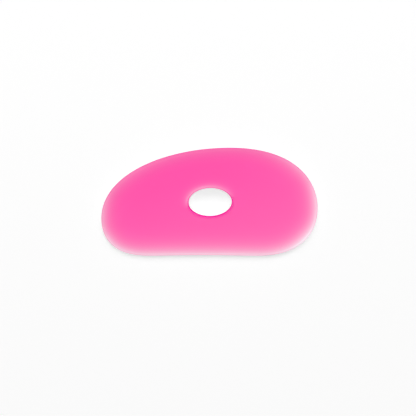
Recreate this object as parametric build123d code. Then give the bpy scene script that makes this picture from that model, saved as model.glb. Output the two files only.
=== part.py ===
from build123d import *
from math import radians, tan
import os

# Pottery rib, a hand tool for shaping and smoothing clay: a flexible slab cast in one piece.
# The back is flat, the front falls away all round in a crowned bevel down to a thin working edge,
# and an oval finger hole goes through the middle. The back lies on z = 0 and the front faces +Z.
# The long, nearly straight edge faces -Y and the arched one +Y. The origin is under the middle of
# the outline.

# Outline, seen from the front
rib_length = 88.9
rib_height = 44.45
base_hollow = 0.2  # how far the long edge draws in at its middle

# Where the outline turns, measured from the middle of the rib, as shares of its length or height
nose_height_share = -0.155  # furthest left, on the low round nose
crown_place_share = 0.095  # highest point of the arch
heel_height_share = -0.06  # furthest right, on the fuller heel
base_right_share = 0.235  # where the long edge begins to turn up to the heel
base_left_share = -0.285  # where it begins to turn up to the nose

# How far each curve holds its direction at its two ends, as shares of its reach that way.
# The larger the share, the fuller the curve.
nose_to_crown_shares = (0.63, 0.5)
crown_to_heel_shares = (0.77, 0.43)
heel_to_base_shares = (0.66, 0.58)
base_to_nose_shares = (0.69, 0.61)

# Section through the rim
body_thickness = 4.8
edge_thickness = 1.4  # the working edge, before its corners are rounded
bevel_width = 9.0  # an arc in section, steepest at the working edge and level where it ends
edge_round = 0.8  # between the working edge and the bevel
back_chamfer = 0.3  # between the working edge and the back

# Finger hole, an oval that widens a little from the back to the front
hole_length = 17.7
hole_height = 11.4
hole_offset_x = 0.3
hole_offset_y = -0.1
hole_turn = 1.6  # degrees, anticlockwise as seen from the front
hole_draft = 4.0  # degrees
hole_front_round = 1.1
hole_back_chamfer = 0.3

# The flat strip that the rim shares with the plate it surrounds
plate_overlap = 0.5


# One stretch of the outline, from one outermost point to the next, square to the box at both
def quarter(start, end, hold_shares, starts_upright):
    reach = end - start
    start_share, end_share = hold_shares
    if starts_upright:
        leave = Vector(0, reach.Y * start_share)
        arrive = Vector(reach.X * end_share, 0)
    else:
        leave = Vector(reach.X * start_share, 0)
        arrive = Vector(0, reach.Y * end_share)
    return Bezier(start, start + leave, end - arrive, end)


# The closed outline, clockwise from the nose: arch, heel, long edge, and back up to the nose
def outline():
    nose = Vector(-rib_length / 2, rib_height * nose_height_share)
    crown = Vector(rib_length * crown_place_share, rib_height / 2)
    heel = Vector(rib_length / 2, rib_height * heel_height_share)
    base_right = Vector(rib_length * base_right_share, -rib_height / 2)
    base_left = Vector(rib_length * base_left_share, -rib_height / 2)
    base_middle = Vector((base_left.X + base_right.X) / 2, base_hollow - rib_height / 2)
    leftward = Vector(-1, 0)
    return Wire([
        quarter(nose, crown, nose_to_crown_shares, starts_upright=True),
        quarter(crown, heel, crown_to_heel_shares, starts_upright=False),
        quarter(heel, base_right, heel_to_base_shares, starts_upright=True),
        Spline(base_right, base_middle, base_left, tangents=(leftward, leftward)),
        quarter(base_left, nose, base_to_nose_shares, starts_upright=False),
    ])


# Section through the rim: x runs in from the working edge and y up from the back
def rim_section():
    back_corner = Vector(0, 0)
    edge_corner = Vector(0, edge_thickness)
    bevel_top = Vector(bevel_width, body_thickness)
    inner_end = bevel_width + plate_overlap
    outward = Vector(-1, 0)
    sides = Polyline(
        edge_corner,
        back_corner,
        Vector(inner_end, 0),
        Vector(inner_end, body_thickness),
        bevel_top,
    )
    bevel = TangentArc(bevel_top, edge_corner, tangent=outward)
    section = make_face(sides.edges() + bevel.edges())
    section = chamfer(section.vertices().sort_by_distance(back_corner)[0], back_chamfer)
    return fillet(section.vertices().sort_by_distance(edge_corner)[0], edge_round)


# The bevelled rim: its section carried once round the outline, square to it all the way
def rim(edge_line):
    up = Vector(0, 0, 1)
    inward = edge_line.tangent_at(0).cross(up)
    square_to_edge = Plane(origin=edge_line.position_at(0), x_dir=inward, z_dir=inward.cross(up))
    return sweep(square_to_edge * rim_section(), path=edge_line)


# The flat middle, reaching half way into the strip it shares with the rim
def plate(edge_line):
    inset = bevel_width + plate_overlap / 2
    return extrude(offset(make_face(edge_line.edges()), -inset), body_thickness)


# The space of the finger hole, between its narrow oval at the back and its wide one at the front
def finger_hole():
    flare = body_thickness * tan(radians(hole_draft))
    place = Pos(hole_offset_x, hole_offset_y) * Rot(0, 0, hole_turn)
    narrow = Ellipse(hole_length / 2, hole_height / 2)
    wide = Ellipse(hole_length / 2 + flare, hole_height / 2 + flare)
    return loft([place * narrow, place * Pos(0, 0, body_thickness) * wide])


# The hole's front rim is rounded, where the finger rolls over it, and its back rim just broken
def soften_hole(body):
    hole_middle = Vector(hole_offset_x, hole_offset_y, body_thickness / 2)
    wall = body.faces().sort_by_distance(hole_middle)[0]
    body = fillet(wall.edges().sort_by(Axis.Z)[-1], hole_front_round)
    wall = body.faces().sort_by_distance(hole_middle)[0]
    return chamfer(wall.edges().sort_by(Axis.Z)[0], hole_back_chamfer)


edge_line = outline()
slab = rim(edge_line) + plate(edge_line)
rib = soften_hole(slab - finger_hole())
rib.label = "rib"

os.makedirs("parts", exist_ok=True)
export_step(rib, "parts/rib.step")
print(f"rib: {rib.volume:.1f} mm3, sound: {rib.is_valid}, size {rib.bounding_box().size}")
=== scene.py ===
from math import atan2, cos, exp, pi, radians, sin, sqrt, tan

import bpy
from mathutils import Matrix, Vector, noise


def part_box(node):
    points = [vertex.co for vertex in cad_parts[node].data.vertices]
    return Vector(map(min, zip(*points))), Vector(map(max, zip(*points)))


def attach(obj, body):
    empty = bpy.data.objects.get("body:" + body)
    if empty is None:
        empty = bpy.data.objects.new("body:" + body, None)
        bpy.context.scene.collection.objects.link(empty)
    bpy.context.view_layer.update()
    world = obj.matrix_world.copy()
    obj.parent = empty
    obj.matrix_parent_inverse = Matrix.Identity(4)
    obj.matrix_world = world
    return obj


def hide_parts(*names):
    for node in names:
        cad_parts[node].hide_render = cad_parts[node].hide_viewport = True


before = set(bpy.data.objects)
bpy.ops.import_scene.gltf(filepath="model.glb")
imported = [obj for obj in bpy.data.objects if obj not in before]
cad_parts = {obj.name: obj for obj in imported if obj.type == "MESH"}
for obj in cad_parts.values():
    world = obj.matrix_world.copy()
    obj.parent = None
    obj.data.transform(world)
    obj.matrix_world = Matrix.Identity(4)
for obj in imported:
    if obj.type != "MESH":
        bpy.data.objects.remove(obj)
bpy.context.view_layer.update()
print("frame loaded")

# A soft cast rib for shaping clay. It lies on its flat back, so the front, with its crowned bevel
# and its finger hole, faces up. Lengths here are millimetres, and mm turns them into metres.
mm = 0.001
ribLow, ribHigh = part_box("rib")
ribMiddle = (ribLow + ribHigh) / 2
ribLength = (ribHigh.x - ribLow.x) / mm
ribHeight = (ribHigh.y - ribLow.y) / mm
ribThickness = (ribHigh.z - ribLow.z) / mm

rib = {
    # outline: where it turns, from the middle, as shares of the length or height
    "noseHeightShare": -0.155,  # furthest left
    "crownPlaceShare": 0.095,  # top of the arch
    "heelHeightShare": -0.06,  # furthest right
    "baseRightShare": 0.235,  # where the long edge begins to turn up to the heel
    "baseLeftShare": -0.285,  # where it begins to turn up to the nose
    # how far each curve holds its direction at its two ends, as shares of its reach
    "noseToCrownShares": (0.63, 0.5),
    "crownToHeelShares": (0.77, 0.43),
    "heelToBaseShares": (0.66, 0.58),
    "baseToNoseShares": (0.69, 0.61),
    "baseHollow": 0.2,  # how far the long edge draws in at its middle
    # section through the rim
    "edgeThickness": 1.4,  # before its corners are rounded
    "bevelWidth": 9.0,
    "edgeRound": 0.8,
    "backRound": 0.3,
    # finger hole, measured at the back
    "holeLength": 17.7,
    "holeHeight": 11.4,
    "holeOffset": (0.3, -0.1),
    "holeTurn": 1.6,  # degrees
    "holeDraft": 4.0,  # degrees
    "holeFrontRound": 1.1,
    "holeBackRound": 0.3,
    # the mesh
    "stations": 480,  # round the outline
    "curveSteps": 600,  # along each stretch of the outline, before the stations are spaced on it
    "bevelSteps": 22,
    "frontSteps": 16,
    "backSteps": 12,
    "wallSteps": 6,
    "edgeRoundSteps": 8,
    "holeRoundSteps": 14,
    "backRoundSteps": 4,
    # slight hollows where the casting shrank as it set
    "sinkDepth": 0.03,
    "sinkSize": 14.0,
    "sinkSeed": (4.2, 1.7, 8.8),
}

glow = {
    # painted light at the working edge: a glow where light comes through it, and a painted sheen and
    # highlight; it is palest at the lower right, where the fill light falls
    "atEdge": (0.54, 0.265, 0.095, 0.16, 0.345, 0.57, 0.56, 0.84),  # right, up right, up, and so on
    "fullTo": 0.6,  # how far in it is palest
    "atTip": 0.67,  # the share of it that is left at the very edge
    "fadePerMm": 0.45,
    # the whole casting: a little paler all over, and painted light across it, paler towards the fill
    # light's side
    "inBody": 0.05,
    "paintedLightAcross": 0.032,  # how much is added at its pale side, and taken at the other
    "litSide": -60.0,  # degrees, anticlockwise from +X
    # painted light on the hole's front rim: a pale glow at its upper left, the side that faces the fill
    # light
    "atRim": 0.32,
    "rimSide": 115.0,  # degrees: where it is palest
    "rimSpread": 0.8,  # the lower, the further round it stays pale
    "rimPeak": 0.7,  # how far out it begins to fade
    "rimReach": 0.8,  # and how far on it fades to about a third
    # painted shade: a deeper, more saturated pink down the hole's front round and on its wall, where
    # less light reaches into the hole
    "rimSink": 4.0,  # how quickly it goes, down the wall
    "shadeDeepens": 2.0,  # how soon the colour is at its deepest, down the front round
    "shadeHides": 0.35,  # the share of the casting's own glow that this deep colour takes away
}


def ease(t):
    # from 0 to 1, slow at both ends
    return t * t * (3 - 2 * t)


def quarterCurve(start, end, holdShares, startsUpright):
    # points from one outermost place of the outline to the next, the last one left out
    reach = end - start
    if startsUpright:
        first = start + Vector((0, reach.y * holdShares[0]))
        second = end - Vector((reach.x * holdShares[1], 0))
    else:
        first = start + Vector((reach.x * holdShares[0], 0))
        second = end - Vector((0, reach.y * holdShares[1]))
    points = []
    for step in range(rib["curveSteps"]):
        t = step / rib["curveSteps"]
        s = 1 - t
        points.append(s**3 * start + 3 * s * s * t * first + 3 * s * t * t * second + t**3 * end)
    return points


def longEdge(right, left):
    # the same between the two ends of the long edge, which draws in at its middle
    points = []
    for step in range(rib["curveSteps"]):
        t = step / rib["curveSteps"]
        fromEnd = 1 - abs(1 - 2 * t)
        points.append(right.lerp(left, t) + Vector((0, rib["baseHollow"] * ease(fromEnd))))
    return points


def fineOutline():
    # clockwise from the nose: arch, heel, long edge, and back up to the nose
    nose = Vector((-ribLength / 2, ribHeight * rib["noseHeightShare"]))
    crown = Vector((ribLength * rib["crownPlaceShare"], ribHeight / 2))
    heel = Vector((ribLength / 2, ribHeight * rib["heelHeightShare"]))
    baseRight = Vector((ribLength * rib["baseRightShare"], -ribHeight / 2))
    baseLeft = Vector((ribLength * rib["baseLeftShare"], -ribHeight / 2))
    points = quarterCurve(nose, crown, rib["noseToCrownShares"], True)
    points += quarterCurve(crown, heel, rib["crownToHeelShares"], False)
    points += quarterCurve(heel, baseRight, rib["heelToBaseShares"], True)
    points += longEdge(baseRight, baseLeft)
    points += quarterCurve(baseLeft, nose, rib["baseToNoseShares"], False)
    return points


def evenStations(points, count):
    # places at even steps along a closed line, each with its outward direction
    lengths = [0.0]
    for here, there in zip(points, points[1:] + points[:1]):
        lengths.append(lengths[-1] + (there - here).length)
    places = []
    at = 0
    for station in range(count):
        target = lengths[-1] * station / count
        while lengths[at + 1] < target:
            at += 1
        here, there = points[at], points[(at + 1) % len(points)]
        share = (target - lengths[at]) / (lengths[at + 1] - lengths[at])
        places.append(here.lerp(there, share))
    outward = []
    for station in range(count):
        along = places[(station + 1) % count] - places[station - 1]
        outward.append(Vector((-along.y, along.x)).normalized())
    return places, outward


def arcPoints(centre, radius, fromAngle, toAngle, steps):
    points = []
    for step in range(steps + 1):
        angle = fromAngle + (toAngle - fromAngle) * step / steps
        points.append((centre[0] + radius * cos(angle), centre[1] + radius * sin(angle)))
    return points


def rimSection():
    # (inward, up) from the back face over the working edge to where the front is flat
    drop = ribThickness - rib["edgeThickness"]
    bevelRadius = (rib["bevelWidth"]**2 + drop**2) / (2 * drop)
    bevelCentre = (rib["bevelWidth"], ribThickness - bevelRadius)
    # the edge round touches the upright edge and the bevel's arc from inside
    radius = rib["edgeRound"]
    rise = sqrt((bevelRadius - radius)**2 - (bevelCentre[0] - radius)**2)
    roundCentre = (radius, bevelCentre[1] + rise)
    meeting = atan2(roundCentre[1] - bevelCentre[1], roundCentre[0] - bevelCentre[0])
    back = rib["backRound"]
    points = arcPoints((back, back), back, 1.5 * pi, pi, rib["backRoundSteps"])
    points += arcPoints(roundCentre, radius, pi, meeting, rib["edgeRoundSteps"])
    points += arcPoints(bevelCentre, bevelRadius, meeting, pi / 2, rib["bevelSteps"])[1:]
    return points


def holeSection():
    # (outward from the oval at the back, up) from the flat front down the wall to the back
    slope = radians(rib["holeDraft"])
    flare = ribThickness * tan(slope)
    radius = rib["holeFrontRound"]
    down = radius * (1 - sin(slope)) / cos(slope)
    centre = (flare - down * sin(slope) + radius * cos(slope), ribThickness - radius)
    points = arcPoints(centre, radius, pi / 2, pi - slope, rib["holeRoundSteps"])
    back = rib["holeBackRound"]
    wallTop = points[-1]
    wallFoot = (back * tan(slope), back)
    for step in range(1, rib["wallSteps"]):
        share = step / rib["wallSteps"]
        points.append((wallTop[0] + (wallFoot[0] - wallTop[0]) * share,
                       wallTop[1] + (wallFoot[1] - wallTop[1]) * share))
    points += arcPoints((wallFoot[0] + back, back), back, pi, 1.5 * pi, rib["backRoundSteps"])
    return points


def turned(x, y, angle):
    return Vector((x * cos(angle) - y * sin(angle), x * sin(angle) + y * cos(angle)))


def holeStations(places):
    # the place on the hole's oval, and its outward direction, in line with each outline place
    centre = Vector(rib["holeOffset"])
    turn = radians(rib["holeTurn"])
    long, short = rib["holeLength"] / 2, rib["holeHeight"] / 2
    ovals, outward = [], []
    for place in places:
        ray = place - centre
        direction = atan2(ray.y, ray.x) - turn
        t = atan2(long * sin(direction), short * cos(direction))
        ovals.append(centre + turned(long * cos(t), short * sin(t), turn))
        outward.append(turned(cos(t) / long, sin(t) / short, turn).normalized())
    return ovals, outward


def shifted(line, directions, distance):
    return [place + direction * distance for place, direction in zip(line, directions)]


def easedShares(count):
    # close together at both ends, so that the flat faces stay flat beside the rounds
    return [ease(step / count) for step in range(1, count)]


def sink(place, share):
    # a hollow that fades out at the bevel and at the hole; share runs from 0 to 1 between them
    lull = noise.noise(Vector((place.x, place.y, 0)) / rib["sinkSize"] + Vector(rib["sinkSeed"]))
    fade = 4 * share * (1 - share)
    return -rib["sinkDepth"] * fade * (0.5 + 0.5 * lull)


def towards(direction, side):
    # 1 where a flat direction points to this side, and -1 where it points the other way
    angle = radians(side)
    return direction.x * cos(angle) + direction.y * sin(angle)


def edgeGlow(inward, direction):
    # painted light: a glow through the thin working edge and a painted sheen, palest where the fill
    # light falls, dying away inwards
    sides = len(glow["atEdge"])
    around = atan2(direction.y, direction.x) / (2 * pi) * sides % sides
    before = int(around) % sides
    share = ease(around - int(around))
    amount = glow["atEdge"][before] * (1 - share) + glow["atEdge"][(before + 1) % sides] * share
    if inward < glow["fullTo"]:
        return amount * (glow["atTip"] + (1 - glow["atTip"]) * inward / glow["fullTo"])
    return amount * exp((glow["fullTo"] - inward) * glow["fadePerMm"])


def slowGlow(place):
    # the whole casting is a little paler all over, and painted light makes it paler still towards the
    # fill light's side, and less pale at the other
    across = Vector((2 * place.x / ribLength, 2 * place.y / ribHeight))
    return glow["inBody"] + glow["paintedLightAcross"] * towards(across, glow["litSide"])


def rimGlow(beyond, up, direction):
    # painted light: a glow on the rolled rim on the hole's far side, standing in for light that comes
    # through it from the bright wall below it
    side = max(0.0, towards(direction, glow["rimSide"]))
    nearTop = min(1.0, up / ribThickness)
    fade = exp(-max(beyond - glow["rimPeak"], 0.0) / glow["rimReach"])
    return glow["atRim"] * side**glow["rimSpread"] * fade * nearTop**glow["rimSink"]


def meshFromRings(rings):
    # a closed skin of four-sided faces, from each ring to the next and from the last to the first
    count = rib["stations"]
    vertices = []
    for ring in rings:
        for place, up in ring:
            x, y = ribMiddle.x + place.x * mm, ribMiddle.y + place.y * mm
            vertices.append((x, y, ribLow.z + up * mm))
    faces = []
    for ring in range(len(rings)):
        following = (ring + 1) % len(rings)
        for station in range(count):
            beside = (station + 1) % count
            faces.append((ring * count + station, following * count + station,
                          following * count + beside, ring * count + beside))
    mesh = bpy.data.meshes.new("castRib")
    mesh.from_pydata(vertices, [], faces)
    mesh.validate()
    return mesh


def buildRib():
    edge, outward = evenStations(fineOutline(), rib["stations"])
    rim, hole = rimSection(), holeSection()
    bevelEnd = shifted(edge, outward, -rim[-1][0])
    backEnd = shifted(edge, outward, -rim[0][0])
    ovals, holeOutward = holeStations(bevelEnd)
    holeTop = shifted(ovals, holeOutward, hole[0][0])
    holeBottom = shifted(ovals, holeOutward, hole[-1][0])

    # each ring is a list of (place, height), one for each station; the rings run from the rim of
    # the back over the working edge and the front, down the hole's wall and out again underneath
    rings = []
    for inward, up in rim:
        rings.append([(place, up) for place in shifted(edge, outward, -inward)])
    for share in easedShares(rib["frontSteps"]):
        across = [far.lerp(near, share) for far, near in zip(bevelEnd, holeTop)]
        rings.append([(place, ribThickness + sink(place, share)) for place in across])
    wallFrom = len(rings)
    for out, up in hole:
        rings.append([(place, up) for place in shifted(ovals, holeOutward, out)])
    wallTo = len(rings)
    for share in easedShares(rib["backSteps"]):
        rings.append([(near.lerp(far, share), 0.0) for near, far in zip(holeBottom, backEnd)])
    mesh = meshFromRings(rings)

    # what the material needs to know: how much painted light each point has, standing in for light
    # through the casting and for the fill light's sheen, and how much painted shade lies round the
    # hole's rim
    glows, shades = [], []
    for index, ring in enumerate(rings):
        for station, (place, up) in enumerate(ring):
            inward = (edge[station] - place).dot(outward[station])
            beyond = (place - ovals[station]).dot(holeOutward[station])
            down = (ribThickness - up) / rib["holeFrontRound"]
            shade = min(1.0, glow["shadeDeepens"] * down) if wallFrom <= index < wallTo else 0.0
            shades.append(shade)
            own = slowGlow(place) * (1 - glow["shadeHides"] * shade)
            through = edgeGlow(inward, outward[station]) + rimGlow(beyond, up, holeOutward[station])
            glows.append(own + through)
    for name, values in (("glow", glows), ("paintedRimShade", shades)):
        mesh.attributes.new(name, "FLOAT", "POINT").data.foreach_set("value", values)

    # material 0 is the moulded front, 1 the hole's wall below its front round, 2 the poured back
    wallRing, backRing = wallFrom + rib["holeRoundSteps"], wallTo - 1
    for index, polygon in enumerate(mesh.polygons):
        ring = index // rib["stations"]
        polygon.use_smooth = True
        polygon.material_index = int(ring >= wallRing) + int(ring >= backRing)
    piece = bpy.data.objects.new("castRib", mesh)
    bpy.context.scene.collection.objects.link(piece)
    return piece


castRib = buildRib()
print("rib modelled:", len(castRib.data.polygons), "faces")


# Finish

patterns = {
    "cloudDetail": 3.0,
    "grainDetail": 2.0,
    "scuffsPerMetre": (300, 2200, 300),  # along X, Y and Z, so each scuff is long in X
    "scuffTurn": 0.5,  # radians, so that the noise's own grid isn't in line with the scuffs
    "scuffDetail": 2.0,
    "scuffRoughness": 0.6,
    "scuffsOver": 0.6,  # the level over which the noise is a scuff
    "scuffSoftness": 0.5,  # how gradually it becomes one
    "smearsPerMetre": 120.0,
    "smearDetail": 1.0,
    "smearMiddle": 0.5,  # the level of noise that leaves the roughness as it is
}


def feed(tree, socket, value):
    # another node's output is linked to the socket, and a number or colour is set on it
    if isinstance(value, bpy.types.NodeSocket):
        tree.links.new(value, socket)
    else:
        socket.default_value = value


def startMaterial(name):
    # an empty material, and the socket that its shader goes to
    material = bpy.data.materials.new(name)
    material.use_nodes = True
    tree = material.node_tree
    tree.nodes.clear()
    return material, tree, tree.nodes.new("ShaderNodeOutputMaterial").inputs["Surface"]


def startGroup(name, inputs, outputs):
    tree = bpy.data.node_groups.new(name, "ShaderNodeTree")
    for label, kind, value in inputs:
        socket = tree.interface.new_socket(name=label, in_out="INPUT", socket_type=kind)
        socket.default_value = value
    for label, kind in outputs:
        tree.interface.new_socket(name=label, in_out="OUTPUT", socket_type=kind)
    return tree, tree.nodes.new("NodeGroupInput").outputs, tree.nodes.new("NodeGroupOutput").inputs


def useGroup(tree, group, values):
    node = tree.nodes.new("ShaderNodeGroup")
    node.node_tree = group
    for label, value in values.items():
        feed(tree, node.inputs[label], value)
    return node.outputs[0]


def mathNode(tree, operation, *values, clamp=False):
    node = tree.nodes.new("ShaderNodeMath")
    node.operation = operation
    node.use_clamp = clamp
    for socket, value in zip(node.inputs, values):
        feed(tree, socket, value)
    return node.outputs[0]


def mixColour(tree, factor, first, second):
    # of a Mix node's sockets, 0 is the factor, and the colours go in at 6 and 7 and out at 2
    node = tree.nodes.new("ShaderNodeMix")
    node.data_type = "RGBA"
    for index, value in ((0, factor), (6, first), (7, second)):
        feed(tree, node.inputs[index], value)
    return node.outputs[2]


def noiseNode(tree, coordinates, scale, detail, roughness=0.5):
    node = tree.nodes.new("ShaderNodeTexNoise")
    for label, value in (("Vector", coordinates), ("Scale", scale), ("Detail", detail),
                         ("Roughness", roughness)):
        feed(tree, node.inputs[label], value)
    return node.outputs["Fac"]


def attributeNode(tree, name):
    node = tree.nodes.new("ShaderNodeAttribute")
    node.attribute_name = name
    return node.outputs["Fac"]


def buildPaintedGlow():
    # painted light: paler where light would come through the casting and where the fill light's sheen
    # falls
    tree, given, out = startGroup("paintedGlow", (
        ("Color", "NodeSocketColor", (0.9, 0.1, 0.4, 1)),
        ("Glow Color", "NodeSocketColor", (1, 1, 1, 1)),
        ("Glow", "NodeSocketFloat", 0.0)), (("Color", "NodeSocketColor"),))
    paler = mixColour(tree, given["Glow"], given["Color"], given["Glow Color"])
    feed(tree, out["Color"], paler)
    return tree


def buildDyeCloud():
    # the dye lies a little thicker here and there
    tree, given, out = startGroup("dyeCloud", (
        ("Vector", "NodeSocketVector", (0, 0, 0)),
        ("Color", "NodeSocketColor", (0.9, 0.1, 0.4, 1)),
        ("Deep Color", "NodeSocketColor", (0.8, 0.05, 0.3, 1)),
        ("Patches per m", "NodeSocketFloat", 90.0),
        ("Amount", "NodeSocketFloat", 0.3)), (("Color", "NodeSocketColor"),))
    cloud = noiseNode(tree, given["Vector"], given["Patches per m"], patterns["cloudDetail"])
    factor = mathNode(tree, "MULTIPLY", cloud, given["Amount"])
    feed(tree, out["Color"], mixColour(tree, factor, given["Color"], given["Deep Color"]))
    return tree


def buildCastGrain():
    # the fine grain of the mould, and the slow waviness of a poured surface
    tree, given, out = startGroup("castGrain", (
        ("Vector", "NodeSocketVector", (0, 0, 0)),
        ("Grain per m", "NodeSocketFloat", 2500.0), ("Grain", "NodeSocketFloat", 1.0),
        ("Waves per m", "NodeSocketFloat", 160.0), ("Waves", "NodeSocketFloat", 1.0)),
        (("Height", "NodeSocketFloat"),))
    heights = []
    for size, amount in (("Grain per m", "Grain"), ("Waves per m", "Waves")):
        pattern = noiseNode(tree, given["Vector"], given[size], patterns["grainDetail"])
        heights.append(mathNode(tree, "MULTIPLY", pattern, given[amount]))
    feed(tree, out["Height"], mathNode(tree, "ADD", *heights))
    return tree


def buildHandling():
    # fine scuffs and finger marks, which change how dull the surface is
    tree, given, out = startGroup("handling", (
        ("Vector", "NodeSocketVector", (0, 0, 0)), ("Roughness", "NodeSocketFloat", 0.45),
        ("Scuffs", "NodeSocketFloat", 0.1), ("Smears", "NodeSocketFloat", 0.05)),
        (("Roughness", "NodeSocketFloat"),))
    stretched = tree.nodes.new("ShaderNodeMapping")
    feed(tree, stretched.inputs["Vector"], given["Vector"])
    feed(tree, stretched.inputs["Scale"], patterns["scuffsPerMetre"])
    feed(tree, stretched.inputs["Rotation"], (0, 0, patterns["scuffTurn"]))
    streaks = noiseNode(tree, stretched.outputs[0], 1.0, patterns["scuffDetail"],
                        patterns["scuffRoughness"])
    over = mathNode(tree, "SUBTRACT", streaks, patterns["scuffsOver"])
    marks = mathNode(tree, "SMOOTH_MAX", over, 0.0, patterns["scuffSoftness"])
    scuffs = mathNode(tree, "MULTIPLY", marks, given["Scuffs"])
    patches = noiseNode(tree, given["Vector"], patterns["smearsPerMetre"], patterns["smearDetail"])
    aside = mathNode(tree, "SUBTRACT", patches, patterns["smearMiddle"])
    smears = mathNode(tree, "MULTIPLY", aside, given["Smears"])
    scuffed = mathNode(tree, "ADD", given["Roughness"], scuffs)
    feed(tree, out["Roughness"], mathNode(tree, "ADD", scuffed, smears, clamp=True))
    return tree


paintedGlow = buildPaintedGlow()
dyeCloud = buildDyeCloud()
castGrain = buildCastGrain()
handling = buildHandling()

castPolymer = {
    "bodyColour": (0.93, 0.0415, 0.35, 1),
    "deepColour": (0.92, 0.038, 0.3, 1),  # in the clouds of the dye
    # painted shade: the deeper pink of the hole's wall and the lower part of its front round
    "wallShadeColour": (1.0, 0.01, 0.36, 1),  # of the hole's wall and its front round
    # painted light: the pale colour that the painted glow and sheen mix towards
    "glowColour": (1, 0.94, 1, 1),  # where light comes through
    "thrownColour": (0.8, 0.8, 0.8, 1),  # for the light that it throws on what is round it
    "cloudAmount": 0.35,
    "bump": 0.2,  # the strength of the grain
    "bumpHeight": 0.05,
    # the moulded front, the hole's wall and the poured back
    "front": {"roughness": 0.56, "specular": 0.36, "grain": 1.0},
    "wall": {"roughness": 0.8, "specular": 0.0, "grain": 1.0},
    "back": {"roughness": 0.3, "specular": 0.36, "grain": 0.3},
}


def buildPolymer(name, side):
    material, tree, surface = startMaterial(name)
    finish = castPolymer[side]
    place = tree.nodes.new("ShaderNodeTexCoord").outputs["Object"]
    # painted shade: the hole's wall takes the deeper shade colour all over
    colour = useGroup(tree, dyeCloud, {
        "Vector": place,
        "Color": castPolymer["wallShadeColour" if side == "wall" else "bodyColour"],
        "Deep Color": castPolymer["deepColour"],
        "Amount": castPolymer["cloudAmount"],
    })
    # painted shade down the lower part of the hole's front round
    if side == "front":
        colour = mixColour(tree, attributeNode(tree, "paintedRimShade"), colour, castPolymer["wallShadeColour"])
    # painted light: paler where the painted edge glow, sheen and rim glow lie
    if side != "wall":
        colour = useGroup(tree, paintedGlow, {
            "Color": colour,
            "Glow Color": castPolymer["glowColour"],
            "Glow": attributeNode(tree, "glow"),
        })
    # the light that the casting throws on the white table stays neutral
    path = tree.nodes.new("ShaderNodeLightPath")
    colour = mixColour(tree, path.outputs["Is Diffuse Ray"], colour, castPolymer["thrownColour"])
    bump = tree.nodes.new("ShaderNodeBump")
    bump.inputs["Strength"].default_value = castPolymer["bump"]
    bump.inputs["Distance"].default_value = castPolymer["bumpHeight"] * mm
    grain = useGroup(tree, castGrain, {"Vector": place, "Grain": finish["grain"]})
    feed(tree, bump.inputs["Height"], grain)
    shader = tree.nodes.new("ShaderNodeBsdfPrincipled")
    shader.inputs["Specular IOR Level"].default_value = finish["specular"]
    feed(tree, shader.inputs["Base Color"], colour)
    dullness = useGroup(tree, handling, {"Vector": place, "Roughness": finish["roughness"]})
    feed(tree, shader.inputs["Roughness"], dullness)
    feed(tree, shader.inputs["Normal"], bump.outputs[0])
    feed(tree, surface, shader.outputs[0])
    return material


for materialName, side in (("mouldFace", "front"), ("holeWall", "wall"), ("pouredBack", "back")):
    castRib.data.materials.append(buildPolymer(materialName, side))
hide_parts("rib")
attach(castRib, "root")
print("finish done")


# Studio

studio = {
    "floorSize": 1500.0,
    "floorGap": 0.02,  # between the table and the rib's back
    "floorTone": 0.9,
    "floorGlow": 0.335,  # what is added where the table is seen, so that it shows as white
    "skyShare": 0.33,  # the light that comes evenly from all round
    "lampDistance": 1600.0,
}
# A lamp's share is how bright it alone would make a white card that lies level, where 1 is white.
# Its light comes from a side, in degrees anticlockwise from +X, and from so many degrees up.
# Three of the lamps light only the rib, so that the table keeps one soft shadow.
lamps = {
    "keyLight": {"share": 0.52, "side": 90.0, "up": 45.5, "size": (3200.0, 1000.0)},
    "fillLight": {"share": 0.2, "side": -62.0, "up": 30.0, "size": (1200.0, 600.0),
                  "onlyOnRib": True, "seenInGloss": True},
    "topLight": {"share": 0.08, "side": -90.0, "up": 80.0, "size": (1000.0, 1000.0)},
    "sideLight": {"share": 0.13, "side": 195.0, "up": 25.0, "size": (1000.0, 800.0), "onlyOnRib": True},
    "cornerLight": {"share": 0.07, "side": 25.0, "up": 25.0, "size": (1000.0, 800.0), "onlyOnRib": True},
}


def hangLamp(name, lamp):
    side, up = radians(lamp["side"]), radians(lamp["up"])
    away = Vector((cos(side) * cos(up), sin(side) * cos(up), sin(up)))
    distance = studio["lampDistance"] * mm
    data = bpy.data.lights.new(name, "AREA")
    data.shape = "RECTANGLE"
    data.size, data.size_y = lamp["size"][0] * mm, lamp["size"][1] * mm
    data.energy = lamp["share"] * pi**2 * distance**2 / sin(up)
    softBox = bpy.data.objects.new(name, data)
    softBox.location = away * distance
    softBox.rotation_euler = away.to_track_quat("Z", "Y").to_euler()
    softBox.visible_glossy = lamp.get("seenInGloss", False)
    bpy.context.scene.collection.objects.link(softBox)
    if lamp.get("onlyOnRib", False):
        receivers = bpy.data.collections.new(name + "Receivers")
        receivers.objects.link(castRib)
        softBox.light_linking.receiver_collection = receivers


def shownAsWhite(tree):
    # 1 for what the camera sees directly, in gloss or through a clear thing, and 0 for lighting
    path = tree.nodes.new("ShaderNodeLightPath")
    seen = mathNode(tree, "MAXIMUM", path.outputs["Is Camera Ray"], path.outputs["Is Glossy Ray"])
    return mathNode(tree, "MAXIMUM", seen, path.outputs["Is Transmission Ray"])


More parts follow.
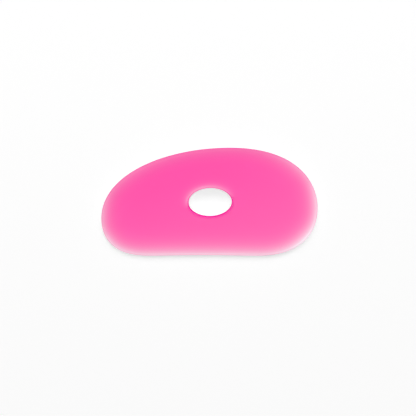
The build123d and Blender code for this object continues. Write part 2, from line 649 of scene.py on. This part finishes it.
def buildWorld():
    world = bpy.data.worlds.new("whiteRoom")
    world.use_nodes = True
    tree = world.node_tree
    background = tree.nodes["Background"]
    background.inputs["Color"].default_value = (1, 1, 1, 1)
    sky = studio["skyShare"]
    strength = mathNode(tree, "MULTIPLY_ADD", shownAsWhite(tree), 1 - sky, sky)
    feed(tree, background.inputs["Strength"], strength)
    bpy.context.scene.world = world


def buildWhiteFloor():
    material, tree, surface = startMaterial("whiteFloor")
    matt = tree.nodes.new("ShaderNodeBsdfDiffuse")
    matt.inputs["Color"].default_value = (studio["floorTone"],) * 3 + (1,)
    lift = tree.nodes.new("ShaderNodeEmission")
    strength = mathNode(tree, "MULTIPLY", shownAsWhite(tree), studio["floorGlow"])
    feed(tree, lift.inputs["Strength"], strength)
    both = tree.nodes.new("ShaderNodeAddShader")
    feed(tree, both.inputs[0], matt.outputs[0])
    feed(tree, both.inputs[1], lift.outputs[0])
    feed(tree, surface, both.outputs[0])
    return material


def buildFloor():
    half = studio["floorSize"] * mm / 2
    height = ribLow.z - studio["floorGap"] * mm
    corners = [(x, y, height) for x, y in ((-half, -half), (half, -half), (half, half), (-half, half))]
    mesh = bpy.data.meshes.new("floor")
    mesh.from_pydata(corners, [], [(0, 1, 2, 3)])
    mesh.materials.append(buildWhiteFloor())
    table = bpy.data.objects.new("floor", mesh)
    bpy.context.scene.collection.objects.link(table)
    return table


for lampName, lamp in lamps.items():
    hangLamp(lampName, lamp)
buildWorld()
floor = buildFloor()

view = {
    "lens": 100.0,
    "distance": 475.8,
    "tilt": 4.5,  # degrees off straight down, towards the arch
    "aimOffset": (-0.6, -2.59),  # from the middle of the rib, in X and Y
}


def placeCamera():
    data = bpy.data.cameras.new("camera")
    data.lens = view["lens"]
    camera = bpy.data.objects.new("camera", data)
    bpy.context.scene.collection.objects.link(camera)
    aimX, aimY = view["aimOffset"]
    aim = Vector((ribMiddle.x + aimX * mm, ribMiddle.y + aimY * mm, ribLow.z))
    tilt = radians(view["tilt"])
    camera.location = aim + Vector((0, sin(tilt), cos(tilt))) * view["distance"] * mm
    camera.rotation_euler = (-tilt, 0, 0)
    return camera


bpy.context.scene.camera = placeCamera()
bpy.context.scene.view_settings.view_transform = "Standard"
print("studio and camera set")
